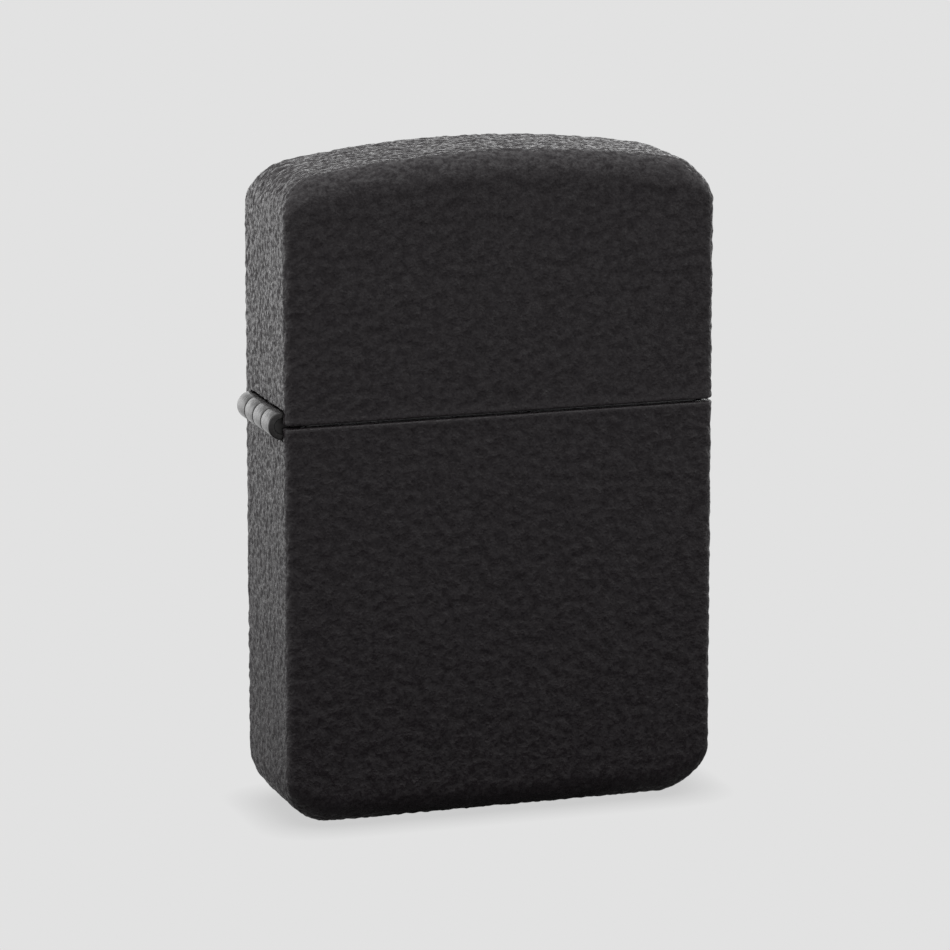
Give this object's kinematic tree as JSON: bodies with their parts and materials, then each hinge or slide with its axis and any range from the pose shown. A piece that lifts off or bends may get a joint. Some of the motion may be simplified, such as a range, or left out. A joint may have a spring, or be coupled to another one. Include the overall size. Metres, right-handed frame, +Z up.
{
  "type": "lighter",
  "caption": "Closed flip-top windproof petrol lighter with crackle paint, a side hinge, and a working insert: chimney, striker wheel, cam, wick and flint feed.",
  "frame": {"origin": "centre of the case's flat bottom", "axes": "+Z up through the lid, X across the width with the hinge at -X, Y through the depth with the front at -Y"},
  "size_m": [0.0393, 0.0126, 0.0571],
  "materials": {
    "crackle_paint": "crackle, satin",
    "hinge_paint": "satin",
    "pin_steel": "dull",
    "insert_steel": "brushed",
    "wheel_steel": "hardened, dark",
    "rivet_steel": "polished",
    "cam_steel": "satin",
    "spring_steel": "satin",
    "tube_brass": "satin",
    "flint_alloy": "matte",
    "wick_cotton": "woven",
    "wick_wire": "drawn copper",
    "packing_cotton": "matte",
    "felt": "matte"
  },
  "bodies": {
    "base": {"case_body": "crackle_paint", "case_hinge_leaf": "hinge_paint", "hinge_pin": "pin_steel", "insert_can": "insert_steel", "chimney": "insert_steel", "striker_axle": "rivet_steel", "cam_rivet": "rivet_steel", "cam_spring": "spring_steel", "cam_spring_rivet": "rivet_steel", "flint_tube": "tube_brass", "flint_spring": "spring_steel", "flint_screw": "tube_brass", "wick": "wick_cotton", "felt_pad": "felt", "wick_wire_1": "wick_wire", "wick_wire_2": "wick_wire", "wick_wire_3": "wick_wire", "fuel_packing_1": "packing_cotton", "fuel_packing_2": "packing_cotton", "fuel_packing_3": "packing_cotton", "fuel_packing_4": "packing_cotton", "fuel_packing_5": "packing_cotton"},
    "lid": {"lid_shell": "crackle_paint", "lid_hinge_leaf": "hinge_paint"},
    "cam_lever": {"cam": "cam_steel"},
    "wheel": {"striker_wheel": "wheel_steel"},
    "flint_feed": {"flint": "flint_alloy", "flint_plunger": "rivet_steel"}
  },
  "joints": [
    {"name": "lid_hinge", "type": "hinge", "parent": "base", "child": "lid", "pos_m": [-0.01905, -0.0005, 0.0349], "axis": [0, -1, 0], "range_deg": [0, 120]},
    {"name": "cam_pivot", "type": "hinge", "parent": "base", "child": "cam_lever", "pos_m": [-0.01362, 0, 0.0409], "axis": [0, 1, 0], "range_deg": [0, 22]},
    {"name": "wheel_spin", "type": "hinge", "parent": "base", "child": "wheel", "pos_m": [0.0102, 0, 0.0466], "axis": [0, 1, 0], "continuous": true},
    {"name": "flint_slide", "type": "slide", "parent": "base", "child": "flint_feed", "axis": [0, 0, 1], "range_m": [-0.0025, 0], "stiffness_N_per_m": 60, "springref_m": 0.005, "deforming": ["flint_spring"]}
  ],
  "couplings": [
    {"joint": "cam_pivot", "follows": "lid_hinge", "ratio": 0.182}
  ]
}
